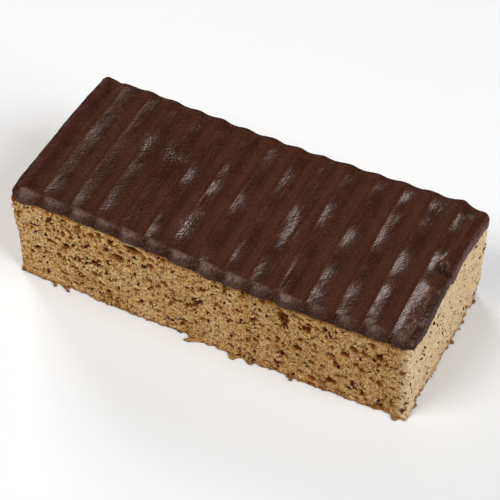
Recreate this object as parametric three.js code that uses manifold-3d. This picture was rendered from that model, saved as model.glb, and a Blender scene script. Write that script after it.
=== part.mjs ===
// A banana cake: a long bar of open, speckled crumb under a thick coat of chocolate icing.
//
// Millimetres, +Z up. X runs along the bar, Y across it. The bar rests on z = 0, with the origin
// under its middle. Its long cut face looks towards -Y and its short one towards +X.
import * as THREE from "three";
import { mergeVertices } from "three/addons/utils/BufferGeometryUtils.js";
import Module from "manifold-3d";

const { lerp, smoothstep, clamp, seededRandom } = THREE.MathUtils;
const wasm = await Module();
wasm.setup();

// ---- Driving dimensions ----------------------------------------------------------------------

const LENGTH = 200; // of the bar, along X
const WIDTH = 86; // along Y
const CRUMB_HEIGHT = 47.4; // mean height at which the icing starts
const ICING = 6.2; // mean thickness of the icing
const GAP = 0.3; // between the crumb and the icing on it

const FRONT_SAG = 2.0; // rise and fall of the top along the front edge
const BACK_SAG = 1.7; // the same along the back edge
const SHOULDER = 0.5; // how far the crumb's top edge is worn down, all round
const SHOULDER_REACH = 5; // how far in from the edge that starts

const EDGE_ROUND = 3.6; // radius over which the icing turns down at its edge
const CUT_ROUND = 2.0; // the same along the back half of the +X end, where a knife has cut it
const PROUD = 0.5; // how far the icing stands out past the crumb
const ICING_CORNER = 5; // corner radius of the icing, seen from above
const CRUMB_CORNER = 2.2; // corner radius of the crumb, seen from above
const WORN_CORNER = 5; // the same at the corner towards +X and +Y, which has crumbled

// The knife has crossed the icing in strokes, side by side. Each leaves a ridge with a steep left
// flank and a long right one, and a sharp groove where the next begins.
const STROKES = [
  12.1, 15, 12.9, 12.3, 13.1, 13.9, 13.7, 13.6, 12.4, 13.3, 13.4, 14.7, 13.3, 13.4, 12.9,
];
const RIDGE_MIDDLE = 1.1; // height of a ridge half-way along the bar
const RIDGE_ENDS = 1.9; // and at the bar's two ends
const CREST = 0.38; // where in its stroke a ridge is highest
const BEND_LEFT = 3.4; // how far the strokes drift to the right at the front edge, at the -X end
const BEND_RIGHT = 1.8; // and at the +X end
const SCALLOP = 0.45; // how far a ridge's end stands out past the groove beside it

// Where the knife has pushed the icing up, or pressed it in: the middle, the reach and the height.
const MARKS = [
  { at: [26, -8], reach: [3, 9], height: 1.3 },
  { at: [-19, -27], reach: [4, 9], height: 0.5 },
  { at: [91, -2], reach: [4, 6], height: 0.8 },
  { at: [93, -17], reach: [4, 6], height: 0.9 },
  { at: [95.5, -31], reach: [3, 6], height: -1.2 },
];
const WIPED = { at: [-42, 8], reach: [14, 12], share: 0.75 }; // where the ridges are wiped away
const HOLE = { at: [95.2, 1.8], size: [2.4, 3.2, 2.8] }; // a deep nick beside the cut end

const CRUMB_UNEVEN = 0.35; // how far the crumb's sides wander in and out
const FLARE = 1.2; // how far the foot of the crumb spreads at the +X end
const PIT_PITCH = 12.6; // spacing of the larger holes along the crumb
const PIT_ROWS = 3; // rows of them up each side
const PIT_SMALLEST = 0.9; // radius
const PIT_LARGEST = 2.8;
const FLAKE_THICK = 1.1; // thickness of the torn shreds round the base

// Where icing has run down over the crumb: the side, the place along it, the width and the depth.
const DRIPS = [
  { side: "right", at: -28, width: 9, depth: 4.2 },
  { side: "right", at: 5, width: 3.6, depth: 2.8 },
  { side: "right", at: 42, width: 4.2, depth: 4.4 },
  { side: "left", at: -22, width: 8, depth: 2.4 },
  { side: "left", at: 26, width: 7, depth: 3.4 },
  { side: "back", at: -64, width: 11, depth: 1.8 },
  { side: "back", at: 31, width: 14, depth: 2.2 },
  { side: "front", at: 6, width: 10, depth: 0.8 },
];

// Shreds of crumb torn out along the base: the side, the place along it, the reach and the width.
const LONG_REACH = 4.2;
const SHORT_REACH = 2.2;
const FLAKES = [
  { side: "front", at: -79, reach: 1.8, width: 7 },
  { side: "front", at: -55, reach: 1.2, width: 5 },
  { side: "front", at: -8, reach: LONG_REACH, width: 8 },
  { side: "front", at: 14, reach: 3.4, width: 5 },
  { side: "front", at: 43, reach: 2.4, width: 4 },
  { side: "front", at: 90, reach: 1.6, width: 9 },
  { side: "right", at: -27, reach: 1.4, width: 5 },
  { side: "right", at: -9, reach: 1.2, width: 4 },
  { side: "right", at: 5, reach: SHORT_REACH, width: 5 },
  { side: "right", at: 33, reach: 1.6, width: 6 },
  { side: "back", at: -71, reach: 1.5, width: 6 },
  { side: "back", at: -26, reach: LONG_REACH, width: 7 },
  { side: "back", at: 37, reach: 2.2, width: 5 },
  { side: "back", at: 78, reach: 1.4, width: 8 },
  { side: "left", at: -18, reach: SHORT_REACH, width: 6 },
  { side: "left", at: 24, reach: 1.3, width: 5 },
];

// ---- Helpers ---------------------------------------------------------------------------------

// Each side of the bar: the turn about Z that brings the front there, its distance from the middle,
// its length, and whether X or Y runs along it forwards or backwards once it is turned.
const SIDES = {
  front: { turn: 0, out: WIDTH / 2, length: LENGTH, sense: 1 },
  right: { turn: Math.PI / 2, out: LENGTH / 2, length: WIDTH, sense: 1 },
  back: { turn: Math.PI, out: WIDTH / 2, length: LENGTH, sense: -1 },
  left: { turn: -Math.PI / 2, out: LENGTH / 2, length: WIDTH, sense: -1 },
};

const bell = (x, middle, width) => Math.exp(-(((x - middle) / width) ** 2));
const mound = (x, y, { at, reach }) => bell(x, at[0], reach[0]) * bell(y, at[1], reach[1]);

// Evenly spaced numbers from low to high, both included.
const steps = (low, high, count) => Array.from({ length: count + 1 }, (_, i) => lerp(low, high, i / count));

// A closed three.js geometry as a solid that can be joined and cut.
function solidOf(geometry) {
  const bare = geometry.clone();
  bare.deleteAttribute("normal");
  bare.deleteAttribute("uv");
  const merged = mergeVertices(bare, 1e-4);
  const triVerts = new Uint32Array(merged.index.array);
  return new wasm.Manifold(
    new wasm.Mesh({ numProp: 3, vertProperties: merged.attributes.position.array, triVerts }),
  );
}

// A solid as a named mesh of its own material.
function meshOf(name, solid, material) {
  const { vertProperties, triVerts } = solid.getMesh();
  const geometry = new THREE.BufferGeometry();
  geometry.setAttribute("position", new THREE.BufferAttribute(vertProperties, 3));
  geometry.setIndex(new THREE.BufferAttribute(triVerts, 1));
  geometry.computeVertexNormals();
  const mesh = new THREE.Mesh(geometry, material);
  mesh.name = name;
  return mesh;
}

// A box with the given numbers of cells, whose grid point (i, j, k) goes where place() puts it.
function gridBox(cells, place) {
  const [nx, ny, nz] = cells;
  const box = new THREE.BoxGeometry(nx, ny, nz, nx, ny, nz);
  const position = box.attributes.position;
  for (let n = 0; n < position.count; n++) {
    const i = Math.round(position.getX(n) + nx / 2);
    const j = Math.round(position.getY(n) + ny / 2);
    const k = Math.round(position.getZ(n) + nz / 2);
    position.setXYZ(n, ...place(i, j, k));
  }
  return solidOf(box);
}

// Rounds the corners of a rectangle: the square at each corner is drawn in to a quarter disc.
function roundCorner(x, y, halfLength, halfWidth, radius) {
  const a = Math.max(0, (Math.abs(x) - halfLength + radius) / radius);
  const b = Math.max(0, (Math.abs(y) - halfWidth + radius) / radius);
  if (a === 0 || b === 0) return [x, y];
  const across = halfLength - radius + radius * a * Math.sqrt(1 - (b * b) / 2);
  const along = halfWidth - radius + radius * b * Math.sqrt(1 - (a * a) / 2);
  return [Math.sign(x) * across, Math.sign(y) * along];
}

// ---- The top of the crumb --------------------------------------------------------------------

// How far the bar's top is above or below a level one.
function sag(x, y) {
  const frontEdge = -FRONT_SAG * Math.sin((2 * Math.PI * (x + 25)) / 230);
  const backEdge = 0.3 - BACK_SAG * Math.cos((2 * Math.PI * x) / 190);
  return lerp(frontEdge, backEdge, smoothstep(y, -WIDTH / 2, WIDTH / 2));
}

// How far the icing runs down over one side at a place along it.
function drip(side, at) {
  const here = DRIPS.filter((run) => run.side === side);
  return here.reduce((sum, run) => sum + run.depth * bell(at, run.at, run.width), 0);
}

function crumbTop(x, y) {
  const nearX = 1 - smoothstep(LENGTH / 2 - Math.abs(x), 0, SHOULDER_REACH);
  const nearY = 1 - smoothstep(WIDTH / 2 - Math.abs(y), 0, SHOULDER_REACH);
  const worn = SHOULDER * Math.max(nearX, nearY);
  const run = nearX * drip(x > 0 ? "right" : "left", y) + nearY * drip(y > 0 ? "back" : "front", x);
  return CRUMB_HEIGHT + sag(x, y) - worn - run;
}

// ---- The crumb -------------------------------------------------------------------------------

// How far a side of the crumb stands out from a flat one, at a place along it and a height.
function standOut(side, at, z) {
  const start = SIDES[side].turn * 1.7; // so that no two sides wander alike
  const slow = Math.sin(at / 9.1 + z / 13 + start) + 0.6 * Math.sin(at / 4.3 - z / 5.7 + start + 2);
  const flare = side === "right" ? FLARE * bell(at, 6, 22) * (1 - z / CRUMB_HEIGHT) : 0;
  return CRUMB_UNEVEN * (slow - 1) + flare;
}

// A block with the crumb's top, raised by lift. Its outermost cells reach past the crumb by spread.
function crumbBlock(lift, spread) {
  const xs = steps(-LENGTH / 2, LENGTH / 2, 25);
  const ys = steps(-WIDTH / 2, WIDTH / 2, 12);
  if (spread > 0) {
    xs.unshift(-LENGTH / 2 - spread);
    xs.push(LENGTH / 2 + spread);
    ys.unshift(-WIDTH / 2 - spread);
    ys.push(WIDTH / 2 + spread);
  }
  const rows = spread > 0 ? 1 : 3;
  return gridBox([xs.length - 1, ys.length - 1, rows], (i, j, k) => {
    const inX = clamp(xs[i], -LENGTH / 2, LENGTH / 2);
    const inY = clamp(ys[j], -WIDTH / 2, WIDTH / 2);
    const z = (k / rows) * (crumbTop(inX, inY) + lift);
    if (spread > 0) return [xs[i], ys[j], z];
    const radius = inX > 0 && inY > 0 ? WORN_CORNER : CRUMB_CORNER;
    let [x, y] = roundCorner(inX, inY, LENGTH / 2, WIDTH / 2, radius);
    if (i === 0) x -= standOut("left", inY, z);
    if (i === xs.length - 1) x += standOut("right", inY, z);
    if (j === 0) y -= standOut("front", inX, z);
    if (j === ys.length - 1) y += standOut("back", inX, z);
    return [x, y, z];
  });
}

// The larger holes in the crumb's cut sides, one in each square of a loose grid.
function pits() {
  seededRandom(29);
  const made = [];
  const margin = 3; // left free at the ends, the foot and the top of each side
  const rise = (CRUMB_HEIGHT - 2 * margin) / PIT_ROWS;
  for (const [name, side] of Object.entries(SIDES)) {
    const columns = Math.floor((side.length - 2 * margin) / PIT_PITCH);
    for (let column = 0; column < columns; column++) {
      for (let row = 0; row < PIT_ROWS; row++) {
        const size = lerp(PIT_SMALLEST, PIT_LARGEST, seededRandom() ** 2.2);
        const room = PIT_PITCH / 2 - size;
        const along = (column - (columns - 1) / 2) * PIT_PITCH + room * (2 * seededRandom() - 1);
        const up = margin + (row + 0.5) * rise + room * (2 * seededRandom() - 1);
        const stretch = 0.8 + 0.6 * seededRandom();
        const surface = side.out + standOut(name, side.sense * along, up);
        const hole = new THREE.IcosahedronGeometry(size, size > 1.9 ? 1 : 0);
        hole.rotateX(seededRandom() * 3).rotateY(seededRandom() * 3);
        hole.scale(stretch, 0.9, 1 / stretch);
        hole.translate(along, 0.2 * size - surface, up);
        hole.rotateZ(side.turn);
        made.push(solidOf(hole));
      }
    }
  }
  return made;
}

// A torn shred at the base: a flat tongue that starts inside the crumb and tapers outwards.
function flake({ side, at, reach, width }) {
  const { turn, out, sense } = SIDES[side];
  const root = 3; // how deep inside the crumb it starts
  const tongue = new THREE.CylinderGeometry(width * 0.15, width / 2, root + reach, 6, 1);
  tongue.scale(1, 1, FLAKE_THICK / width);
  tongue.rotateX(Math.PI);
  tongue.translate(sense * at, -out + root - (root + reach) / 2, FLAKE_THICK / 2);
  tongue.rotateZ(turn);
  return solidOf(tongue);
}

function crumb() {
  const block = crumbBlock(0, 0);
  const holed = pits().reduce((body, hole) => body.subtract(hole), block);
  return FLAKES.reduce((body, shred) => body.add(flake(shred)), holed);
}

// ---- The icing -------------------------------------------------------------------------------

// Where each stroke starts, measured at the back edge. The last number is where the last one ends.
const grooves = STROKES.reduce((starts, width) => [...starts, starts.at(-1) + width], [-LENGTH / 2]);

// How far a stroke has drifted to the right at y. The bar's two ends stay straight.
function drift(x, y) {
  const fromBack = (WIDTH / 2 - y) / WIDTH;
  const held = Math.abs(x / (LENGTH / 2)) ** 9;
  return lerp(BEND_LEFT, BEND_RIGHT, x / LENGTH + 0.5) * fromBack ** 2 * (1 - held);
}

// The ridge over one stroke, from 0 in the groove to 1 on the crest, for share 0 to 1 of its width.
const ridge = (share) => Math.sin(Math.PI * share ** (Math.log(0.5) / Math.log(CREST)));

function ridgeHeight(x, y) {
  const whole = lerp(RIDGE_MIDDLE, RIDGE_ENDS, (x / (LENGTH / 2)) ** 2);
  return whole * (1 - WIPED.share * mound(x, y, WIPED));
}

const marks = (x, y) => MARKS.reduce((sum, mark) => sum + mark.height * mound(x, y, mark), 0);

function icingShell() {
  const shares = [0, 0.14, 0.36, 0.58, 0.8]; // grid lines in each stroke
  const turns = [0, Math.PI / 8, Math.PI / 4, (3 * Math.PI) / 8, Math.PI / 2]; // round the edge

  // Each grid line: where it lies along the bar and how high its ridge is there, 0 to 1.
  const lines = [];
  grooves.slice(0, -1).forEach((start, n) => {
    for (const share of shares) {
      lines.push({ x: start + share * STROKES[n], rise: ridge(share) });
    }
  });
  const flat = lines.filter(({ x }) => Math.abs(x) < LENGTH / 2 - EDGE_ROUND);
  const insets = turns.slice(2).map((a) => 1 - Math.cos(a)); // on top, in edge radii
  const halfLength = LENGTH / 2 + PROUD;
  const halfWidth = WIDTH / 2 + PROUD;
  const xs = [
    ...insets.map((d) => ({ x: -halfLength + d * EDGE_ROUND, rise: 0.5 })),
    ...flat,
    ...insets.map((d) => ({ x: halfLength - d * CUT_ROUND, rise: 0.4 })).reverse(),
  ];
  const inner = halfWidth - EDGE_ROUND;
  const ys = [
    ...insets.map((d) => -halfWidth + d * EDGE_ROUND),
    ...steps(-inner, inner, 12).slice(1, -1),
    ...insets.map((d) => halfWidth - d * EDGE_ROUND).reverse(),
  ];

  const lowest = CRUMB_HEIGHT - 12; // the shell's flat underside, cut away afterwards
  const sideRows = 3; // the underside, and two rows of the round below its middle
  return gridBox([xs.length - 1, ys.length - 1, sideRows], (i, j, k) => {
    const { rise } = xs[i];
    let { x } = xs[i];
    let y = ys[j];
    const cut = x > 0 ? smoothstep(y, -6, 4) : 0; // 1 where the knife has cut the end
    const round = lerp(EDGE_ROUND, CUT_ROUND, cut);
    let inset = Math.min((halfLength - Math.abs(x)) / round, (halfWidth - Math.abs(y)) / EDGE_ROUND);
    if (k < sideRows) {
      // A row of the side: the outline, moved out to where the round has got to.
      inset = k === 0 ? 0 : 1 - Math.cos(turns[k - 1]);
      const step = insets[0] - inset;
      if (i === 0) x -= step * EDGE_ROUND;
      if (i === xs.length - 1) x += step * CUT_ROUND;
      if (j === 0 || j === ys.length - 1) y += Math.sign(y) * step * EDGE_ROUND;
    }
    y += Math.sign(y) * SCALLOP * (rise - 0.5) * smoothstep(Math.abs(y), halfWidth - 6, halfWidth);
    x += drift(x, y);
    const left = 1 - clamp(inset, 0, 1);
    const drop = round * (1 - Math.sqrt(1 - left * left));
    const ripple = ridgeHeight(x, y) * (rise - 0.5);
    const top = CRUMB_HEIGHT + ICING + sag(x, y) + ripple + marks(x, y);
    return [...roundCorner(x, y, halfLength, halfWidth, ICING_CORNER), k === 0 ? lowest : top - drop];
  });
}

// The deep nick, as the squashed ball to cut away.
function nick() {
  const [x, y] = HOLE.at;
  const ball = new THREE.IcosahedronGeometry(1, 2);
  ball.scale(...HOLE.size);
  ball.translate(x, y, CRUMB_HEIGHT + ICING + sag(x, y) + 0.6);
  return solidOf(ball);
}

function icing() {
  const spread = 10; // so that the crumb's top also trims the icing that stands out past it
  return icingShell().subtract(crumbBlock(GAP, spread)).subtract(nick());
}

// ---- The cake --------------------------------------------------------------------------------

const crumbMaterial = new THREE.MeshStandardMaterial({ color: 0xc09a5f, roughness: 0.95, metalness: 0 });
const icingMaterial = new THREE.MeshStandardMaterial({ color: 0x47261c, roughness: 0.42, metalness: 0 });

const cake = new THREE.Group();
cake.add(meshOf("crumb", crumb(), crumbMaterial));
cake.add(meshOf("icing", icing(), icingMaterial));

export default cake;
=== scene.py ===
# %% [markdown]
# # A bar of banana cake
#
# A long bar of cake, cut from a tray and lying on its base. Two things make it: an open, golden
# brown crumb full of holes and dark banana specks, and a thick coat of chocolate icing that a
# palette knife has drawn into ridges across the bar.
#
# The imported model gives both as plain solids. Here each gets its real surface, in the same place
# and at the same size. Lengths in this script are in millimetres until a mesh is written, because
# that is how a baker's ruler reads.

# %% Load the cake's frame
import math

import bpy
import numpy as np
from mathutils import Matrix, Vector, noise


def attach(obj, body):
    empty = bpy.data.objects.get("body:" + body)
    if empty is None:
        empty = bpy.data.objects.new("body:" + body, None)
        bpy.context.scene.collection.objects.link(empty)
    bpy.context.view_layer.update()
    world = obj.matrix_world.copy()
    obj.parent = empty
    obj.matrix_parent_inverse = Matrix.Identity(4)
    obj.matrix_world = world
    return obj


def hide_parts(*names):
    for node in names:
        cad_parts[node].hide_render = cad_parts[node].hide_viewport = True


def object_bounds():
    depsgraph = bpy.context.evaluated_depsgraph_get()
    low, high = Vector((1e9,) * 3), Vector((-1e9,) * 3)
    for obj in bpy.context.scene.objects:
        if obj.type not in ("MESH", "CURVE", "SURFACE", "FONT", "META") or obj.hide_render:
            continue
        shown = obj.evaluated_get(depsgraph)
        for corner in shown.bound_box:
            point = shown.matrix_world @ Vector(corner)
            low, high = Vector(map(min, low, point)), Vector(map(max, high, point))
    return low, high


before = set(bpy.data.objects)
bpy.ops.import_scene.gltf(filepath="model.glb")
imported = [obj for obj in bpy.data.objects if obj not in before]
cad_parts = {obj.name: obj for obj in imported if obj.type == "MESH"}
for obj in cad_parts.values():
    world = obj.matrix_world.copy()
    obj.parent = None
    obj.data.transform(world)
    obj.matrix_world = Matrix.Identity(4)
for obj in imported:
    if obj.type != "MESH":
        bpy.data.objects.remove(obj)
cad_box = [list(corner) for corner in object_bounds()]

MM = 0.001  # metres in a millimetre
LENGTH, WIDTH = 200, 86  # the bar, along X and along Y
CRUMB_HEIGHT = 47.4  # mean height at which the icing starts
ICING = 6.2  # mean thickness of the icing
SIZE = [(high - low) / MM for low, high in zip(*cad_box)]
print("solids:", sorted(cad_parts), "size in mm:", [round(s, 1) for s in SIZE])

# %% [markdown]
# ## Working by hand
#
# The pieces are started and shaped with the same operators that a hand would use in the viewport.
# An operator acts on whatever is selected, so each step says first what that is. Small helpers
# start a piece, pick one up, apply its modifiers, and read or write all of its points at once,
# which is how the finest relief is carved.

# %% Starting, picking up, finishing and carving
def pick(*objects):
    """Selects only these objects; the first is the active one."""
    bpy.ops.object.select_all(action="DESELECT")
    for one in objects:
        one.select_set(True)
    bpy.context.view_layer.objects.active = objects[0]


def begin(name, primitive, **settings):
    """Adds a primitive and gives it its name."""
    bpy.ops.object.select_all(action="DESELECT")
    primitive(**settings)
    piece = bpy.context.object
    piece.name = piece.data.name = name
    return piece


def apply_modifiers(piece):
    pick(piece)
    for modifier in list(piece.modifiers):
        bpy.ops.object.modifier_apply(modifier=modifier.name)


def points(piece):
    """A mesh's points as rows of x, y, z, in millimetres."""
    flat = np.empty(len(piece.data.vertices) * 3)
    piece.data.vertices.foreach_get("co", flat)
    return flat.reshape(-1, 3) / MM


def carve(piece, moved):
    """Puts each point of a mesh in its new place."""
    piece.data.vertices.foreach_set("co", (moved * MM).ravel())
    piece.data.update()


def note(piece, name, values):
    """Writes one number for each point, for a material to read."""
    if name not in piece.data.attributes:
        piece.data.attributes.new(name, "FLOAT", "POINT")
    piece.data.attributes[name].data.foreach_set("value", values.astype(np.float32))


def noted(piece, name):
    """Reads such numbers back."""
    values = np.empty(len(piece.data.vertices), dtype=np.float32)
    piece.data.attributes[name].data.foreach_get("value", values)
    return values


def count_triangles(piece):
    piece.data.calc_loop_triangles()
    return len(piece.data.loop_triangles)


# %% [markdown]
# ## Soft forms
#
# Nothing on a cake starts or stops sharply. A few functions give every soft form in this script: a
# rise from one place to another, a bell round a place, a mix of two values, and soft noise.

# %% Rises, bells and noise
def smooth_step(t):
    t = np.clip(t, 0, 1)
    return t * t * (3 - 2 * t)


def rise(at, start, over):
    """0 up to start, 1 from start + over, and a smooth rise between them."""
    return smooth_step((at - start) / over)


def bell(x, middle, width):
    return np.exp(-(((x - middle) / width) ** 2))


def mix(low, high, share):
    return low + (high - low) * share


def soft_noise(x, y, z=0, size=1):
    """Noise from -1 to 1 at each place; size is how wide its lumps are."""
    spots = zip(*np.broadcast_arrays(x, y, z))
    return np.array([noise.noise(Vector(spot) / size) for spot in spots])


# %% [markdown]
# ## The form that both pieces share
#
# The top of the bar isn't level. It dips in the middle of its long front edge and again along the
# back, as a tray of cake does when it cools. The icing lies on that top with nearly even thickness
# and has run down a little further here and there, most of all at the cut end. Both pieces have to
# follow the same dips and the same runs, so these are functions, and each piece calls them.

# %% The top of the bar and the runs of icing
SHOULDER, SHOULDER_REACH = 0.5, 5  # how far the crumb's top edge is worn down, and how far in
FRONT_SWING, BACK_SWING = 2.0, 1.7  # how far the top goes up and down along its long edges
CORNER_LEAN = 1.3  # how far the front left corner leans out at its top

# Each run of icing down a side: the place along it, its width and its depth.
DRIPS = {
    "right": [(-28, 9, 4.2), (5, 3.6, 2.8), (42, 4.2, 4.4)],
    "left": [(-22, 8, 2.4), (26, 7, 3.4)],
    "back": [(-64, 11, 1.8), (31, 14, 2.2)],
    "front": [(6, 10, 0.8)],
}


def sag(x, y):
    front = -FRONT_SWING * np.sin(2 * np.pi * (x + 25) / 230)
    back = 0.3 - BACK_SWING * np.cos(2 * np.pi * x / 190)
    return mix(front, back, smooth_step(y / WIDTH + 0.5))


def drip(side, at):
    return sum(depth * bell(at, place, wide) for place, wide, depth in DRIPS[side])


def leaning_corner(x, y):
    return CORNER_LEAN * rise(-x, 82, 14) * rise(-y, 28, 12)


def crumb_top(x, y):
    near_x = 1 - smooth_step((LENGTH / 2 - abs(x)) / SHOULDER_REACH)
    near_y = 1 - smooth_step((WIDTH / 2 - abs(y)) / SHOULDER_REACH)
    ends = np.where(x > 0, drip("right", y), drip("left", y))
    sides = np.where(y > 0, drip("back", x), drip("front", x))
    worn = SHOULDER * np.maximum(near_x, near_y)
    return CRUMB_HEIGHT + sag(x, y) - worn - near_x * ends - near_y * sides


print("top of the crumb at the front left, in mm:", round(float(crumb_top(-99.0, -42.0)), 1))

# %% [markdown]
# ## Nodes that read like sums
#
# Both the holes in the crumb and every finish are worked out by nodes. Written out link by link,
# such a sum is hard to read. `Wire` wraps one socket, so that `a * 2 + b` adds the Math nodes for
# it, and `Bench` adds any other node from its type, its settings and what goes into its sockets.
# It also knows the few groups of nodes that the finishes share.

# %% A wire
class Wire:
    """A socket that can be added, multiplied and compared."""

    def __init__(self, bench, socket):
        self.bench = bench
        self.socket = socket

    def math(self, operation, *others):
        inputs = dict(enumerate([self, *others]))
        return self.bench.node("ShaderNodeMath", {"operation": operation}, inputs)

    def __add__(self, other):
        return self.math("ADD", other)

    def __sub__(self, other):
        return self.math("SUBTRACT", other)

    def __mul__(self, other):
        return self.math("MULTIPLY", other)

    def __pow__(self, other):
        return self.math("POWER", other)

    def __rsub__(self, other):
        return (self * -1).math("ADD", other)

    __radd__ = __add__

    def most(self, other):
        return self.math("MAXIMUM", other)

    def least(self, other):
        return self.math("MINIMUM", other)

    def between(self, low, high):
        """0 up to low, 1 from high, and a smooth rise from one to the other."""
        settings = {"interpolation_type": "SMOOTHSTEP"}
        return self.bench.node("ShaderNodeMapRange", settings, {0: self, 1: low, 2: high})


# %% A bench
class Bench:
    """Adds nodes to one tree."""

    def __init__(self, tree):
        self.tree = tree
        tree.nodes.clear()

    def add(self, kind, settings=None, inputs=None):
        made = self.tree.nodes.new(kind)
        for name, value in (settings or {}).items():
            setattr(made, name, value)
        for name, value in (inputs or {}).items():
            if isinstance(value, Wire):
                self.tree.links.new(value.socket, made.inputs[name])
            else:
                made.inputs[name].default_value = value
        return made

    def node(self, kind, settings=None, inputs=None, out=0):
        return Wire(self, self.add(kind, settings, inputs).outputs[out])

    def scaled(self, vector, factor):
        return self.node("ShaderNodeVectorMath", {"operation": "SCALE"}, {0: vector, "Scale": factor})

    def stretched(self, vector, x, y, z):
        return self.node("ShaderNodeVectorMath", {"operation": "MULTIPLY"}, {0: vector, 1: (x, y, z)})

    def axis(self, vector, number):
        """A vector's part along X, Y or Z, for 0, 1 or 2."""
        return self.node("ShaderNodeSeparateXYZ", {}, {0: vector}, number)

    def place(self):
        """Where a point of the piece is, in millimetres."""
        return self.scaled(self.node("ShaderNodeTexCoord", out="Object"), 1 / MM)

    def noted(self, name):
        return self.node("ShaderNodeAttribute", {"attribute_name": name}, out="Fac")

    def clouds(self, place, wavelength, detail=2.0, out=0):
        inputs = {"Vector": place, "Scale": 1 / wavelength, "Detail": detail}
        return self.node("ShaderNodeTexNoise", {}, inputs, out)

    def cells(self, place, width, out="Distance"):
        inputs = {"Vector": place, "Scale": 1 / width}
        return self.node("ShaderNodeTexVoronoi", {}, inputs, out)

    def blend(self, share, first, second):
        """The first colour where share is 0, the second where it is 1."""
        return self.node("ShaderNodeMix", {"data_type": "RGBA"}, {0: share, 6: first, 7: second}, 2)

    def paint(self, base, coats):
        """Lays colours over a base one by one, each where its share is above 0."""
        for share, tint in coats:
            base = self.blend(share, base, colour(*tint))
        return base

    def bump(self, height, strength, distance):
        inputs = {"Height": height, "Strength": strength, "Distance": distance * MM}
        return self.node("ShaderNodeBump", {}, inputs)

    def surface(self, base, roughness, specular, others=None):
        inputs = {"Base Color": base, "Roughness": roughness, "Specular IOR Level": specular}
        return self.node("ShaderNodeBsdfPrincipled", {}, inputs | (others or {}))

    def show(self, surface):
        self.add("ShaderNodeOutputMaterial", {}, {0: surface})


def colour(red, green, blue):
    """A colour as the eye reads it, 0 to 255, as the light it sends back."""
    shares = [value / 255 for value in (red, green, blue)]
    light = [((s + 0.055) / 1.055) ** 2.4 if s > 0.04045 else s / 12.92 for s in shares]
    return (*light, 1.0)


def new_finish(name):
    """A material, and the bench for its nodes."""
    made = bpy.data.materials.new(name)
    made.use_nodes = True
    return made, Bench(made.node_tree)


def new_tree(name):
    """A tree of geometry nodes that takes a mesh and gives one, and the bench for it."""
    tree = bpy.data.node_groups.new(name, "GeometryNodeTree")
    for way in ("INPUT", "OUTPUT"):
        tree.interface.new_socket("Geometry", in_out=way, socket_type="NodeSocketGeometry")
    return tree, Bench(tree)


def run_nodes(piece, tree):
    piece.modifiers.new(tree.name, "NODES").node_group = tree
    apply_modifiers(piece)


# %% [markdown]
# ## The block of crumb
#
# The body is a cube, made to size, with its upright corners bevelled as a blunt knife leaves them.
# A voxel remesh then turns it into even squares, a little under half a millimetre wide, which is
# fine enough to be pitted all over. The alternative is to subdivide the cube, but that spends as
# many points on the hidden top and base as on the sides; here they are thrown away again later.

# %% Rough out the block
VOXEL = 0.44  # width of the squares that the sides are carved in
CORNER = 1.2  # how round the upright corners are

crumb_face = begin("crumb_face", bpy.ops.mesh.primitive_cube_add, size=1)
bpy.ops.object.mode_set(mode="EDIT")
bpy.ops.transform.resize(value=(LENGTH * MM, WIDTH * MM, CRUMB_HEIGHT * MM))
bpy.ops.transform.translate(value=(0, 0, CRUMB_HEIGHT * MM / 2))
bpy.ops.mesh.select_all(action="DESELECT")
bpy.ops.object.mode_set(mode="OBJECT")
for edge in crumb_face.data.edges:
    start, end = (crumb_face.data.vertices[n].co for n in edge.vertices)
    edge.select = abs(start.z - end.z) > MM
bpy.ops.object.mode_set(mode="EDIT")
bpy.ops.mesh.select_mode(type="EDGE")
bpy.ops.mesh.bevel(offset=CORNER * MM, segments=4)
bpy.ops.object.mode_set(mode="OBJECT")
squares = crumb_face.modifiers.new("squares", "REMESH")
squares.mode = "VOXEL"
squares.voxel_size = VOXEL * MM
apply_modifiers(crumb_face)
print("points in the rough block:", len(crumb_face.data.vertices))

# %% [markdown]
# The block still stands square. Its top is now bent to the sag and the runs of icing, and its
# sides wander by a few tenths, with the foot torn and spread. The same step notes two things for
# the finish: how far each point lies below the icing, and whether it is on the clean-cut end.

# %% Bend the block to the bar's form
TUCK = 1.2  # how far the crumb reaches up into the icing, so that no gap shows
UNEVEN = 0.35  # how far the sides wander
PHASE = {"front": 0, "right": 0.5, "back": 1, "left": -0.5}  # so that no two wander alike
FLARE = 0.8  # how far the cut end's lower part stands out or in
SWOLLEN = 1.4  # how far the cut end stands out at its back corner, above the foot
FOOT = 3.0  # how high the foot reaches
RAGGED, TEAR = 1.0, 3.1  # how far it is torn in and out, and how wide the tears are
SPREAD = 1.8  # how far it has sunk outwards on the long sides, and half as far at the ends
SPREAD_MORE = 1.2  # how much further at the front right corner


def stand_out(side, at, z):
    """How far a side stands out from a flat one."""
    start = PHASE[side] * np.pi * 1.7
    slow = np.sin(at / 9.1 + z / 13 + start) + 0.6 * np.sin(at / 4.3 - z / 5.7 + start + 2)
    flares = FLARE * bell(at, 18, 16) + FLARE * bell(at, -40, 9) - FLARE * rise(at, 38, 4)
    flare = flares * (1 - z / CRUMB_HEIGHT) if side == "right" else 0
    return UNEVEN * (slow - 1) + flare


def near(distance):
    """1 on a face, falling to 0 a few millimetres behind it."""
    return 1 - smooth_step(distance / 3)


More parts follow.
